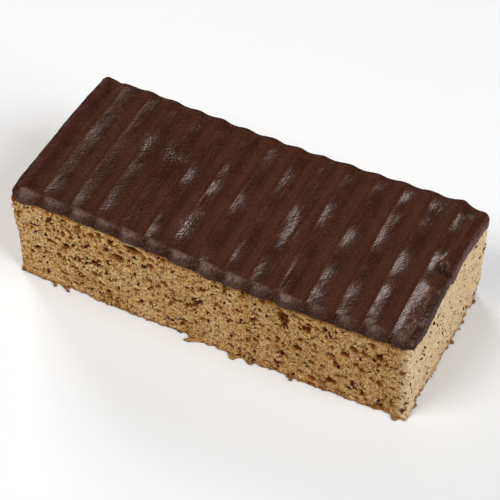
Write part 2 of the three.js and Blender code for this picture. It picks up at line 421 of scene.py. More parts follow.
x, y, z = points(crumb_face).T
top = crumb_top(x, y)
level = z / CRUMB_HEIGHT * (top + TUCK)
at_left, at_right = near(x + LENGTH / 2), near(LENGTH / 2 - x)
at_front, at_back = near(y + WIDTH / 2), near(WIDTH / 2 - y)
cut_end = rise(x, LENGTH / 2 - 6, 6)
foot = 1 - rise(z, 0, FOOT)
torn_x, torn_y = soft_noise(y / TEAR, 9.0), soft_noise(x / TEAR, 18.0)
out_x = foot * (RAGGED * torn_x + SPREAD / 2) * (1 - 0.9 * rise(y, 34, 8))
sunk = SPREAD * (1 - 0.6 * rise(x, 50, 25)) + 0.6 * bell(x, 35, 30)
sunk = sunk + SPREAD_MORE * cut_end * (y < 0)
out_y = foot * (RAGGED * torn_y + sunk)
leaning = leaning_corner(x, y) * rise(level, 18, 26)
swollen = SWOLLEN * rise(y, 20, 14) * rise(level, 4, 8)
bent_x = x - at_left * (stand_out("left", y, level) + out_x + leaning)
bent_x = bent_x + at_right * (stand_out("right", y, level) + out_x + swollen)
bent_y = y - at_front * (stand_out("front", x, level) + out_y + 0.6 * leaning)
bent_y = bent_y + at_back * (stand_out("back", x, level) + out_y)
carve(crumb_face, np.stack([bent_x, bent_y, level], axis=1))
note(crumb_face, "below_icing", top - level)
note(crumb_face, "clean", cut_end)

# %% [markdown]
# ## The large holes
#
# Some holes on the front are so large that the eye goes to them first, most of all the long one
# right under the icing. These are dug one by one, each an oval bowl at its own place, before the
# small ones, so that their walls are pitted too.

# %% Dig the large holes
LARGE_HOLES = [
    # x and z on the front, width, height, depth
    (-37, 43.5, 9.5, 4.2, 2), (-49, 42.5, 2.8, 4.4, 2.2), (-45.5, 34, 6, 4.4, 1.2),
    (-73, 28.5, 3.8, 3.4, 1.9), (-81.5, 35.4, 2.4, 2.2, 1.8), (-91, 35, 2.2, 2, 1.5),
    (-58, 24.7, 4, 3.4, 1.8), (-21.7, 29, 4.6, 2.4, 1.2), (-75.6, 8.3, 4.6, 2.4, 1.2),
    (-72.4, 19, 2.2, 1.8, 1.4), (-63.5, 33, 2.6, 2, 1.4), (39.7, 34, 3.2, 3.4, 1.2),
    (50.4, 36, 4.4, 4.4, 1.7), (73.3, 34.7, 4.4, 3.4, 1.5), (85.4, 36, 3.6, 5, 1.4),
    (69, 29, 3.2, 3, 1.4), (65.4, 20.4, 3.2, 4.2, 1.3), (54, 4, 5, 3, 1.1),
    (13, 22, 3, 2.2, 1.2), (-2, 35, 2.6, 2, 1.2), (28, 26, 3, 2.4, 1.2),
]
place = points(crumb_face)
x, y, z = place.T
on_front = y < 7 - WIDTH / 2
edge_noise = soft_noise(x, 0, z, 1.9)
dug = np.zeros(len(x))
for middle_x, middle_z, wide, high, deep in LARGE_HOLES:
    away = np.hypot((x - middle_x) / (wide / 2), (z - middle_z) / (high / 2)) + 0.35 * edge_noise
    dug += deep * np.sqrt(np.clip(1 - away**2, 0, 1)) * on_front
place[:, 1] += dug
carve(crumb_face, place)
print("deepest large hole, in mm:", round(float(dug.max()), 1))

# %% [markdown]
# ## The small holes
#
# Gas leaves holes of every size in a cake, and a knife cuts through them at every depth. Cells
# scattered in space give just that. Each cell has a ball of air at its middle, and wherever the
# side of the block cuts a ball there is a hole, wide if the cut goes through its middle and small
# if it only grazes it. Three sizes are laid over each other. Boolean cuts would give the same
# holes, but thousands of them take far more triangles.

# %% Build the holes
HOLE_SIZES = [
    # cell width, smallest and largest radius as shares of it, how few are large, depth of the holes
    (8, 0.05, 0.38, 2.2, 0.80),
    (3.8, 0.15, 0.58, 1.2, 0.80),
    (2.2, 0.12, 0.60, 1.3, 0.90),
]
ROUGHNESS = 0.45  # height of the torn grain between the holes
DEEPEST = 2.6  # no small hole goes deeper
SHALLOWER = 0.6  # how much less deep the holes are on the clean-cut end


def hole_depth(bench, place, width, smallest, largest, rarity, depth):
    """How deep the holes of one size are at a place, in millimetres."""
    distance = bench.cells(place, width)
    draw = bench.axis(bench.cells(place, width, out="Color"), 0)
    radius = draw**rarity * (largest - smallest) + smallest
    return (radius * radius - distance * distance).most(0).math("SQRT") * (width * depth)


holes_tree, bench = new_tree("holes")
block = bench.node("NodeGroupInput")
outward = bench.node("GeometryNodeInputNormal")
in_mm = bench.scaled(bench.node("GeometryNodeInputPosition"), 1 / MM)
wobble = bench.scaled(bench.clouds(in_mm, 1.8, 1.0, out="Color"), 2.0)
bent = bench.node("ShaderNodeVectorMath", {"operation": "ADD"}, {0: in_mm, 1: wobble})
depths = [hole_depth(bench, bent, *sizes) for sizes in HOLE_SIZES]
deep = depths[0].most(depths[1]) + depths[2] * 0.7
grain = (bench.clouds(in_mm, 1.8, 3.0) - 0.5) * (2 * ROUGHNESS)
on_side = 1 - bench.axis(outward, 2).math("ABSOLUTE").between(0.3, 0.8)
cut_clean = bench.axis(outward, 0).between(0.5, 0.9)
deep = deep * (1 - cut_clean * SHALLOWER)
open_side = on_side * bench.axis(in_mm, 2).between(0.0, 0.8)
step = bench.scaled(outward, (grain - deep.least(DEEPEST)) * open_side * MM)
pitted = bench.node("GeometryNodeSetPosition", {}, {"Geometry": block, "Offset": step})
noted_inputs = {"Geometry": pitted, "Name": "hole", "Value": deep * on_side}
written = bench.node("GeometryNodeStoreNamedAttribute", {"data_type": "FLOAT"}, noted_inputs)
bench.add("NodeGroupOutput", {}, {0: written})

run_nodes(crumb_face, holes_tree)
note(crumb_face, "hole", noted(crumb_face, "hole") + dug)

# %% [markdown]
# The pitted block has far more triangles than it needs, most of them flat and hidden on its top
# and its base. Decimating merges the flattest first, so the holes keep their detail.

# %% Spend the triangles where they show
CRUMB_TRIANGLES = 190_000

thin = crumb_face.modifiers.new("thin", "DECIMATE")
thin.ratio = CRUMB_TRIANGLES / count_triangles(crumb_face)
apply_modifiers(crumb_face)
pick(crumb_face)
bpy.ops.object.shade_smooth()
deepest = noted(crumb_face, "hole").max()
print("crumb triangles:", count_triangles(crumb_face), "deepest hole in mm:", deepest)

# %% [markdown]
# ## The coat of icing
#
# The coat is a sheet that turns down over the edge all round. It starts as a grid whose columns
# follow the knife's strokes, so that each groove is a clean line. The grid's rim is extruded down
# step by step: first for the rounded edge, then for the side, and last for a lip that turns in and
# is closed. Every point knows its column, its row and how often it was extruded, and the steps
# that follow work out its place from these.

# %% Lay out the sheet of icing
STROKES = [12.6, 14.4, 13, 12.8, 12.6, 13.1, 14, 13.3, 12.7, 13.4, 14.6, 13.9, 13.5, 13.8, 12.3]
COLUMNS = 24  # in each stroke
ROWS = 150
ROUND_STEPS = 6  # extrusions that make the rounded edge
SIDE_STEPS = 8  # and those that make the side
LIP_STEPS = 3  # and those of the lip under the side, turned in to the crumb

columns = COLUMNS * len(STROKES)
grid_add = bpy.ops.mesh.primitive_grid_add
icing_coat = begin("icing_coat", grid_add, x_subdivisions=columns, y_subdivisions=ROWS, size=2)
bpy.ops.object.mode_set(mode="EDIT")
bpy.ops.mesh.select_all(action="SELECT")
bpy.ops.mesh.region_to_loop()
for _ in range(ROUND_STEPS + SIDE_STEPS + LIP_STEPS):
    bpy.ops.mesh.extrude_region_move(TRANSFORM_OT_translate={"value": (0, 0, -1)})
bpy.ops.mesh.edge_face_add()
bpy.ops.mesh.select_all(action="SELECT")
bpy.ops.mesh.normals_make_consistent(inside=False)
bpy.ops.object.mode_set(mode="OBJECT")
print("points in the sheet:", len(icing_coat.data.vertices))

# %% [markdown]
# ### The ridges
#
# A palette knife held at a slant pushes the icing ahead of it, lifts, and comes down again. Each
# stroke so leaves a low ridge with its steep flank on the left, and a groove where the next stroke
# begins. Where the knife was pressed harder the flank is wider and steeper, and there it catches
# the light. These touches are uneven, a few on each stroke, so they are listed stroke by stroke.

# %% Shape the ridges
# The touches on each stroke: place along Y, reach along Y, width of the flank, steepness.
TOUCHES = [
    [],
    [(18, 30, 6.4, 0.14), (5, 7, 6.4, 0.26), (-36, 8, 6, 0.28)],
    [(0, 44, 5.2, 0.16), (35, 6, 5.6, 0.26), (-36, 10, 5.2, 0.32)],
    [(36, 6, 5.4, 0.14), (7, 6, 5.4, 0.26), (-6, 6, 5.8, 0.32), (-29, 11, 5.2, 0.3)],
    [(34, 7, 5.8, 0.22), (20, 5, 5.4, 0.14), (-38, 6, 4.8, 0.22)],
    [(35, 5, 4.4, 0.2), (3, 6, 5.2, 0.66), (-29, 5, 4.6, 0.28), (-38, 6, 4.8, 0.62)],
    [(37, 6, 4.4, 0.32), (13, 5, 4.8, 0.36), (1, 6, 5.6, 0.6), (-26, 8, 6.2, 0.5), (-17, 4, 7, 0.3)],
    [(34, 8, 5.6, 0.36), (-2, 7, 7.2, 0.38), (-40, 6, 5.2, 0.44)],
    [(20, 9, 5, 0.38), (-32, 7, 4.6, 0.5)],
    [(37, 4, 4.4, 0.26), (3, 6, 5.8, 0.52), (-9, 7, 7, 0.16), (-35, 8, 5, 0.54)],
    [(34, 6, 4.6, 0.28), (10, 7, 5.4, 0.54), (-27, 8, 4.6, 0.36), (-40, 4, 4.6, 0.42)],
    [(36, 5, 6.4, 0.4), (1, 7, 7.2, 0.52), (-23, 6, 7, 0.5), (-37, 7, 7.2, 0.66)],
    [(36, 6, 6.4, 0.8), (19, 6, 6.6, 0.46), (7, 7, 6.4, 0.55),
     (-14, 7, 6, 0.2), (-28, 7, 7, 0.56), (-41, 6, 7.2, 0.7)],
    [(37, 6, 6.2, 0.68), (24, 4, 5.4, 0.36), (-4, 9, 7.6, 0.76), (-22, 6, 6.6, 0.95), (-38, 9, 7.2, 0.86)],
    [(35, 10, 6.4, 1.2), (4, 5.5, 7.4, 1.2), (-15, 6, 9, 1.05), (-33, 10, 8.6, 1.2)],
]
REST_WIDTH, REST_STEEPNESS = 5.0, 0.1  # of a flank that the knife hardly touched
FIRST_FALL = 0.5  # the first stroke has no flank, and only falls away from the end of the bar
FULL_SLOPE = 0.28  # height of a fully pressed flank for each millimetre of its width
BEND_LEFT, BEND_RIGHT = 3.4, 1.8  # drift of the strokes at the front edge, at the two ends
EDGE_ROUND = 3.6  # radius of the rounded edge
PROUD = 0.5  # how far the icing stands out past the crumb
ICING_CORNER = 3.9  # radius of the corners, seen from above
BACK_RIGHT_CORNER = 4.0  # and of the one at the back right

starts = np.concatenate([[0], np.cumsum(STROKES)]) - LENGTH / 2
flat_half_length = LENGTH / 2 + PROUD - EDGE_ROUND
starts[[0, -1]] = -flat_half_length, flat_half_length  # the end strokes turn down with the edge
widths = np.diff(starts)


def flank(stroke, y):
    """Width, height and steepness of each stroke's steep flank at y."""
    wide = np.full(y.shape, REST_WIDTH)
    steep = np.full(y.shape, REST_STEEPNESS)
    for number, touches in enumerate(TOUCHES):
        for place, reach, touch_wide, pressed in touches:
            share = np.exp(-(abs((y - place) / reach) ** 2.6)) * (stroke == number)
            wide = mix(wide, touch_wide, share)
            steep = mix(steep, pressed, share)
    high = FULL_SLOPE * wide * steep
    return np.where(stroke == 0, 0, wide), np.where(stroke == 0, FIRST_FALL, high), steep


def ridge(along, wide, whole):
    """0 in the groove, 1 on the crest; all three are lengths along X."""
    climb = np.clip(along / np.maximum(wide, 0.01), 0, 1)
    fall = np.clip((along - wide) / (whole - wide), 0, 1)
    up = mix(1 - (1 - climb) ** 2, smooth_step(climb), 0.6)
    down = mix(np.cos(np.pi / 2 * fall), 1 - smooth_step(fall), 0.5)
    return np.where(along < wide, up, down)


def ripple(y, stroke, share):
    """Height over the mean top. A groove lies midway below the ridges on its two sides."""
    wide, high, _ = flank(stroke, y)
    left_high = flank(np.maximum(stroke - 1, 0), y)[1]
    right_high = flank(np.minimum(stroke + 1, len(STROKES) - 1), y)[1]
    groove = -mix(left_high + high, high + right_high, share) / 4
    return groove + high * ridge(share * widths[stroke], wide, widths[stroke])


def drift(x, y):
    """How far a stroke has drifted to the right at y; the bar's two ends stay straight."""
    from_back = 0.5 - y / WIDTH
    held = abs(x / (LENGTH / 2)) ** 9
    return mix(BEND_LEFT, BEND_RIGHT, x / LENGTH + 0.5) * from_back**2 * (1 - held)


# %% [markdown]
# ### Marks of the knife
#
# Here and there the icing was pushed up, pressed in or wiped flat: a lump near the middle, a wiped
# patch at the left, and, at the cut end, a deep nick with a smear in front of it. Each mark is a
# small mound or hollow with a place, a reach and a height, added to the ridges. In the wiped
# patch the ridges lose most of their height.

# %% List the marks
MARKS = [
    # x, y, reach along x and y, height
    (26, -8, 2.6, 8, 1.2), (28.8, -7, 0.7, 6, 0.9), (30.2, 0.8, 1, 1.5, 1), (25, -17.5, 1.6, 1.2, 0.8),
    (-19, -27, 4, 9, 0.4), (97, -12, 6, 6, 0.6), (95.5, -31, 3, 6, -1.2), (94.6, 2.4, 1.5, 2.4, -3.6),
    (96.8, 0.4, 2.4, 1.3, -3), (97, 4.6, 1.1, 3, 1), (94, 9, 0.9, 4, 0.8), (28.3, -32, 0.7, 7, 0.5),
    (35.2, -30, 0.6, 8, 0.35), (-19.4, -8.4, 0.5, 2.4, 0.5), (-88, -24, 0.8, 1, -0.7),
]
WIPED, WIPED_SHARE = (-42, 8, 14, 12), 0.75  # the patch, and how much it loses
# where shade is painted into the deep nick
NICK_SHADE = (95.4, 1.6, 2.0, 2.2)  # the dark hole among the marks
LEVEL, GIVE = 55.8, 0.4  # where the knife's stroke levels the crests, and how far it gives way
FRONT_ROLL = 0.9  # how far the top has sunk where the front edge begins to turn
WORN_RIGHT, WORN_LEFT = 4.0, 1.5  # how far it has sunk at the two back corners
BACK_LIP = 1.15  # how far it has risen at the middle of the back edge
BACK_FLAT = 0.8  # how much of the ridges' height is lost along that edge
BACK_WAVE = 0.3  # height of the waves along it
CREST_SHARE = 0.92  # how far across a stroke each wave crests, just left of the next groove


def mound(x, y, middle_x, middle_y, reach_x, reach_y):
    return bell(x, middle_x, reach_x) * bell(y, middle_y, reach_y)


def back_wave(share):
    return BACK_WAVE * np.cos(2 * np.pi * (share - CREST_SHARE))


def icing_top(x, y, stroke, share):
    marks = sum(mark[4] * mound(x, y, *mark[:4]) for mark in MARKS)
    kept = (1 - WIPED_SHARE * mound(x, y, *WIPED)) * (1 - BACK_FLAT * rise(y, 34, 8))
    worn_right = WORN_RIGHT * rise(x, 86.5, 9) * rise(y, 31, 11)
    worn_left = WORN_LEFT * rise(-x, 82, 12) * rise(y, 25, 15)
    lip = BACK_LIP * (0.3 + bell(x, 10, 60)) * rise(y, 34, 8) + back_wave(share) * rise(y, 35, 7)
    rolls_off = worn_right + worn_left + FRONT_ROLL * rise(-y, 34, 8) - lip
    free = CRUMB_HEIGHT + ICING + sag(x, y) + kept * ripple(y, stroke, share) + marks - rolls_off
    return np.where(free < LEVEL, free, LEVEL + GIVE * (1 - np.exp((LEVEL - free) / GIVE)))


# %% [markdown]
# ### Putting the sheet in place
#
# The grid covers the flat of the top, up to where the edge starts to turn. Its corners are drawn
# in to small quarter rounds, with more of the rim's points on the round than on the straight
# parts beside it. Each point then knows which way is outwards from it.

# %% Lay the grid over the bar
CORNER_ZONE = 5  # how much of the grid is drawn in at a corner

grid_x, grid_y, grid_z = points(icing_coat).T * MM
extruded = np.round(-grid_z).astype(int)
column = np.round((grid_x + 1) / 2 * columns).astype(int)
stroke = np.minimum(column // COLUMNS, len(STROKES) - 1)
share = column / COLUMNS - stroke
nudged = share + 0.12 * np.sin(np.pi * share) * (share - 0.75)  # columns crowd towards the groove
flat_x = starts[stroke] + nudged * widths[stroke]
flat_half_width = WIDTH / 2 + PROUD - EDGE_ROUND
flat_y = grid_y * flat_half_width
corner_round = np.where((grid_x > 0) & (grid_y > 0), BACK_RIGHT_CORNER, ICING_CORNER)
inner_corner = corner_round - EDGE_ROUND


def into_corner(value, half):
    """0 along a side, rising to 1 at its end, over the corner's zone."""
    return np.clip((abs(value) - half + CORNER_ZONE) / CORNER_ZONE, 0, 1)


def round_the_corner(t):
    """Rim points of a corner, t from 0 to 2: the angle of their outward direction and place."""
    straight = CORNER_ZONE - inner_corner
    arc = corner_round * np.pi / 2
    run = t / 2 * (2 * straight + arc)
    angle = np.clip((run - straight) / arc, 0, 1) * np.pi / 2
    before = np.clip(run, 0, straight)
    after = np.clip(run - straight - arc, 0, straight)
    rim_x = straight + inner_corner * np.cos(angle) - after
    rim_y = before + inner_corner * np.sin(angle)
    return angle, rim_x, rim_y


a, b = into_corner(flat_x, flat_half_length), into_corner(flat_y, flat_half_width)
in_corner = (a > 0) & (b > 0)
ring = np.maximum(np.maximum(a, b), 1e-6)
angle, rim_x, rim_y = round_the_corner(np.where(a >= b, b / ring, 2 - a / ring))
round_x = np.sign(flat_x) * (flat_half_length - CORNER_ZONE + ring * rim_x)
round_y = np.sign(flat_y) * (flat_half_width - CORNER_ZONE + ring * rim_y)
put_x = np.where(in_corner, round_x, flat_x)
put_y = np.where(in_corner, round_y, flat_y)
on_end = abs(grid_x) > 0.9999
on_long = abs(grid_y) > 0.9999
toward_x = np.where(in_corner, np.cos(angle), on_end) * np.sign(flat_x)
toward_y = np.where(in_corner, np.sin(angle), on_long) * np.sign(flat_y)
ways = (toward_x, -toward_x, toward_y, -toward_y)
to_right, to_left, to_back, to_front = (np.clip(way, 0, 1) for way in ways)
print("points drawn in at the corners:", int(in_corner.sum()))

# %% [markdown]
# A point that was extruded from the rim goes outwards from there, first round the edge. At the
# front the edge is a bevel, where each ridge ends in a nose that bulges out over the crumb. At the
# left end, and where the knife cut at the right, it is nearly square. Elsewhere it is a quarter
# circle.

# %% Turn the edge down
SCALLOP = 0.4  # how far a ridge's end stands out past the groove beside it
NOSE_OUT, NOSE_DROP = 1.1, 0.6  # how far it does at the front, and how far the groove dips there
NOSE_STRENGTH = np.array([1.0, 0.7, 1.0, 0.6, 1.1, 0.5, 0.9, 1.0, 1.0, 0.7, 0.9, 0.4, 0.6, 0.7, 0.5])
BEVEL, SQUARE = 1.5, 0.25  # above 1 the rounded edge comes close to a bevel, below 1 to a square
BACK_OUT, LEFT_OUT = 0.5, 0.2  # how far the icing has spread over the back and left edges
RIGHT_OUT = 1.1  # and over the back part of the right edge
FRONT_DROP = 2.7  # how far the bevel of the front edge goes down


def nose(share):
    """1 where a ridge's end bulges over the front edge, 0 at the grooves."""
    shape = smooth_step(share / 0.35) * (1 - smooth_step((share - 0.4) / 0.6))
    return shape * NOSE_STRENGTH[stroke]


lean = drift(put_x, put_y)
cut = rise(put_x, 80, 10) * rise(put_y, -6, 10)  # the knife-cut stretch
at_left_end = rise(-put_x, 90, 5) * rise(put_y, -38, 6)
square = mix(mix(1.0, SQUARE, np.maximum(cut, at_left_end)), BEVEL, to_front)
edge_drop = mix(EDGE_ROUND, FRONT_DROP, to_front)
turn = np.clip(extruded / ROUND_STEPS, 0, 1) * np.pi / 2
edge_out = np.sin(turn) ** square * EDGE_ROUND
edge_down = (1 - np.clip(np.cos(turn), 0, 1) ** square) * edge_drop
edge_down = np.where(extruded >= ROUND_STEPS, edge_drop, edge_down)
scallop = SCALLOP * (ridge(share * widths[stroke], REST_WIDTH, widths[stroke]) - 0.5)
scallop = mix(scallop, back_wave(share), to_back)
bulge = mix(scallop, NOSE_OUT * (nose(share) - 0.5), to_front)
out = edge_out + bulge * smooth_step(edge_out / EDGE_ROUND + 0.3) * (extruded > 0)
spread = BACK_OUT * to_back + LEFT_OUT * to_left + leaning_corner(put_x, put_y)
spread = spread + RIGHT_OUT * to_right * rise(put_y, 18, 12)
out = out + spread * smooth_step(edge_out / EDGE_ROUND)
edge_down = edge_down + NOSE_DROP * (0.5 - nose(share)) * to_front * edge_out / EDGE_ROUND

# %% [markdown]
# From the edge the icing goes down to where it ends on the crumb, in a line that is ragged at two
# scales. Below that it turns in, and its underside is closed out of sight inside the crumb.

# %% Take the sheet down the side
LIFT = 1.1  # how far above the top of the crumb the icing ends
JAG, RIGHT_JAG, FINE_JAG = 0.7, 0.6, 0.5  # how ragged its end is, how much more so at the right
THINNED = 0.1  # how much thinner it is there
LIP_IN = {1: 0.35, 2: 1.1, 3: 4.5}  # how far the lip has turned in after each of its steps
LIP_DROP = {1: 0.15, 2: 0.0, 3: -0.4}
CLOSED_AT = 43.5  # the sheet's hidden underside, inside the crumb

side_share = np.clip((extruded - ROUND_STEPS) / SIDE_STEPS, 0, 1)
brim_x = put_x + lean + toward_x * edge_out
brim_y = put_y + toward_y * edge_out
surface = icing_top(put_x + lean, put_y, stroke, share)
ragged = (JAG + RIGHT_JAG * to_right) * soft_noise(brim_x, brim_y, 0, 3.2)
fine_ragged = FINE_JAG * soft_noise(brim_x, brim_y, 9, 1.4)
ends_at = crumb_top(np.clip(brim_x, -LENGTH / 2, LENGTH / 2), np.clip(brim_y, -WIDTH / 2, WIDTH / 2))
ends_at = ends_at + ragged + fine_ragged + LIFT
out = out - THINNED * side_share**2
down_side = mix(surface - edge_down, ends_at, side_share)
height = np.where(extruded <= ROUND_STEPS, surface - edge_down, down_side)
lip = extruded - ROUND_STEPS - SIDE_STEPS
for number, inward in LIP_IN.items():
    out = np.where(lip == number, out - inward, out)
    height = np.where(lip == number, ends_at - LIP_DROP[number], height)
height = np.where(lip == LIP_STEPS, CLOSED_AT, height)
carve(icing_coat, np.stack([put_x + lean + toward_x * out, put_y + toward_y * out, height], axis=1))
print("icing triangles:", count_triangles(icing_coat))

# %% [markdown]
# The finish has to know the strokes too: how far across its stroke a point is, whether it is on
# the top or on the side, where the knife polished the icing, and where a ridge's end catches the
# light over the front edge, which gets a painted highlight.

# %% Note the strokes for the finish
POLISH, MOST_POLISHED = 1.4, 0.86  # how glossy a steep flank is for its steepness, and at most

flank_wide, _, steepness = flank(stroke, put_y)
front_rows = abs(grid_y + 1) < 2.1 / ROWS  # the last two on the top before the front edge
on_flank = 1 - smooth_step((share * widths[stroke] - flank_wide) / 3)
crescent = rise(extruded, 0, 1.5) * (1 - rise(extruded, 0.5, 3.5)) + 0.6 * front_rows
on_rim = to_front * (0.1 + 0.6 * nose(share) * crescent) + 0.5 * to_right
knife_share = np.clip(steepness * POLISH, 0, MOST_POLISHED) * on_flank * (stroke > 0)
note(icing_coat, "share", share)
note(icing_coat, "on_top", (extruded == 0) * 1.0)
note(icing_coat, "low", np.clip((extruded - 2) / ROUND_STEPS, 0, 1))
# where a painted highlight goes on the ridges' ends over the front edge
note(icing_coat, "ridge_end_highlight", np.clip(-toward_y * nose(share) * crescent, 0, 1))
note(icing_coat, "polished", np.where(extruded > 0, np.clip(on_rim, 0, 1), knife_share))

# %% [markdown]
# ### Lumps and wrinkles
#
# Icing that has set under a knife is never smooth. Five layers of relief, each a Displace modifier
# with a cloud texture, are laid on: slow lumps and tight ones over all of it, coarse pimples on
# the patches that the knife tore, and lumps and wrinkles along the front and right rims. Vertex
# groups hold the last three to their places.

# %% Roughen the icing
PIMPLED = [
    # x, y, reach along x and y
    (-58.5, 12.5, 3, 6), (-46.5, 12, 3, 6), (-39, 10, 5, 3), (-17, -27, 4.5, 9), (26, -8, 3.5, 8),
    (95, -25, 5, 6), (82, 36, 3, 8),
]
RELIEF = [
    # name, wavelength, strength, vertex group
    ("slow lumps", 8.0, 0.5, ""), ("tight lumps", 2.6, 0.16, ""), ("pimples", 1.1, 0.5, "torn patches"),
    ("rim lumps", 4.2, 0.5, "rim"), ("rim wrinkles", 1.5, 0.14, "rim"),
]


def lumps(piece, name, wavelength, strength, group):
    texture = bpy.data.textures.new(name, "CLOUDS")
    texture.noise_scale = wavelength * MM
    texture.noise_depth = 1
    layer = piece.modifiers.new(name, "DISPLACE")
    layer.texture = texture
    layer.texture_coords = "LOCAL"
    layer.strength = strength * MM
    layer.mid_level = 0.5
    layer.vertex_group = group


def hold(piece, name, weights):
    """A vertex group for a modifier that works on a part of the piece."""
    group = piece.vertex_groups.new(name=name)
    for index in np.flatnonzero(weights > 0.02):
        group.add([int(index)], float(weights[index]), "REPLACE")


icing_x, icing_y, _ = points(icing_coat).T
torn = np.clip(sum(mound(icing_x, icing_y, *patch) for patch in PIMPLED), 0, 1)
from_front = icing_y + WIDTH / 2
from_right = LENGTH / 2 - icing_x + 20 * rise(icing_y, -4, 6)  # not along the knife-cut stretch
hold(icing_coat, "torn patches", torn)
hold(icing_coat, "rim", 1 - rise(np.minimum(from_front, from_right), 1, 4))
for layer in RELIEF:
    lumps(icing_coat, *layer)
apply_modifiers(icing_coat)
note(icing_coat, "torn", torn)
note(icing_coat, "wiped", mound(icing_x, icing_y, *WIPED))
note(icing_coat, "nick", mound(icing_x, icing_y, *NICK_SHADE))
pick(icing_coat)
bpy.ops.object.shade_smooth()

# %% [markdown]
# ## The finish of the icing
#
# Dark chocolate icing is a brown so deep that its shape shows mostly by what it reflects. It is
# laid on in coats of colour, one over the other: a brown that varies slowly, a paler painted sheen
# on the falling side of each ridge, a redder brown painted into the grooves for the shade there and
# the light that thin icing lets through, pale mauve specks and a paler band at the cut end painted
# on the side for the light it reflects, a painted highlight on the ridges' ends, painted shade in
# the deep nick, and fine dots and streaks over all of them.

# %% Colour the icing
icing_finish, bench = new_finish("icing_finish")
place = bench.place()
stroke_share = bench.noted("share")
on_top = bench.noted("on_top")
low = bench.noted("low")  # 0 on the top, 1 on the side
on_side = 1 - on_top

along_x, along_y = bench.axis(place, 0), bench.axis(place, 1)
wandering = stroke_share + (bench.clouds(place, 5.0) - 0.5) * 0.2
# painted shade: a redder brown in the grooves, for the shade there and the light that thin icing lets
# through
groove = (1 - wandering.between(0.0, 0.3)).most(wandering.between(0.84, 1.0)) * on_top
# painted sheen: a paler brown on the falling side of each ridge, for the light it reflects
painted_sheen = stroke_share.between(0.45, 0.75) * (1 - stroke_share.between(0.86, 0.97)) * on_top
patchy = bench.clouds(place, 9.0, 3.0)
mottle = bench.clouds(place, 1.3, 2.0)
speckle = bench.clouds(place, 0.6, 2.0)
streaks = bench.clouds(bench.stretched(place, 1.0, 0.06, 1.0), 1.5, 2.0)
to_left_end = (1 - along_x.between(-100, 0)) * on_top
# painted reflection: pale mauve specks on the side, for the floor that the icing reflects
painted_reflection_specks = bench.clouds(place, 0.9, 3.0).between(0.52, 0.66) * on_side
# painted light: a paler mauve band on the side at the cut end, for the light and the reflection there
painted_cut_end_light = along_x.between(99.0, 100.0) * along_y.between(-8, -2) * on_side
wrinkles = bench.clouds(bench.stretched(place, 1.0, 0.3, 0.3), 0.7, 2.0)
# painted highlight: pale crescents on the ridges' ends over the front edge
painted_nose_highlight = bench.noted("ridge_end_highlight") * (wrinkles.between(0.35, 0.6) * 0.6 + 0.4)
plain = 1 - painted_nose_highlight
chocolate = bench.paint(colour(52, 26, 16), [
    (patchy.between(0.35, 0.7), (62, 32, 21)),
    (painted_sheen * 0.7, (76, 46, 37)),
    (to_left_end * 0.25, (46, 20, 9)),
    # painted shade and light in the grooves
    (groove * 0.65, (72, 34, 18)),
    (bench.noted("wiped") * 0.8, (48, 20, 10)),
    (streaks.between(0.5, 0.7) * on_top * 0.3, (78, 41, 27)),
    ((1 - streaks.between(0.3, 0.5)) * on_top * 0.35, (46, 21, 13)),
    (low * 0.9, (52, 28, 19)),
    (painted_reflection_specks * 0.6, (104, 80, 78)),
    (painted_cut_end_light * 0.85, (100, 70, 61)),
    (painted_nose_highlight * 0.8, (116, 90, 86)),
    # painted shade: the deep nick is painted nearly black
    (bench.noted("nick"), (26, 9, 5)),
    (mottle.between(0.54, 0.76) * plain * 0.5, (38, 16, 8)),
    (mottle.between(0.42, 0.62) * on_side * plain * 0.6, (42, 20, 13)),
    (speckle.between(0.54, 0.7) * plain * 0.8, (34, 13, 6)),
    ((1 - speckle.between(0.3, 0.44)) * 0.6, (98, 54, 36)),
])

# %% [markdown]
# Fine creases run slantwise over the ridges, all over the icing. Most of it is dull. Where the
# knife pressed or tore it, on the steep flanks and round the ridges' ends, it is glossy, and there
# the creases break up the light. So the finish mixes a dull surface and a glossy one.

# %% Crease and polish the icing
CREASE_TURN = math.radians(-27)

torn_here = bench.noted("torn")
turn_inputs = {"Vector": place, "Angle": CREASE_TURN}
turned = bench.node("ShaderNodeVectorRotate", {"rotation_type": "Z_AXIS"}, turn_inputs)
drawn = bench.stretched(turned, 0.35, 1.0, 1.0)
creases = bench.clouds(drawn, 1.2, 2.0) * 0.7 + bench.clouds(place, 1.1, 2.0) * 0.5
bump = bench.bump(creases * (torn_here * 1.5 + 1.0) + streaks * 0.5, 1.0, 0.34)
warm_light = {"Normal": bump, "Specular Tint": (1.0, 0.82, 0.8, 1.0)}
dull = bench.surface(chocolate, 0.6, 0.02, {"Normal": bump})
glossy = bench.surface(chocolate, 0.3 + patchy * 0.1, 0.5, warm_light)
smeared = bench.noted("polished") * 0.85 + patchy.between(0.4, 0.7) * 0.08 + torn_here * 0.7
gloss = smeared.least(1.0) * (1 - low * 0.8)
bench.show(bench.node("ShaderNodeMixShader", {}, {0: gloss, 1: dull, 2: glossy}))
icing_coat.data.materials.append(icing_finish)

# %% [markdown]
# ## The finish of the crumb
#
# Cake crumb is matte and lets some light in, so the shade in its holes is not black but a warm
# brown, and it is painted: the deeper a hole, the browner and darker it is painted, which the hole's
# depth, noted on the mesh, gives. Pinholes too small to carve get painted shade as brown dots, and
# the fine clumps get painted shade in their hollows and a painted highlight on their crests.
# Towards the foot the crumb has baked darker, and right under the icing it is stained orange brown.

# %% Mix the crumb's finish
crumb_finish, bench = new_finish("crumb_finish")
place = bench.place()
hole = bench.noted("hole")
height_up = bench.axis(place, 2)

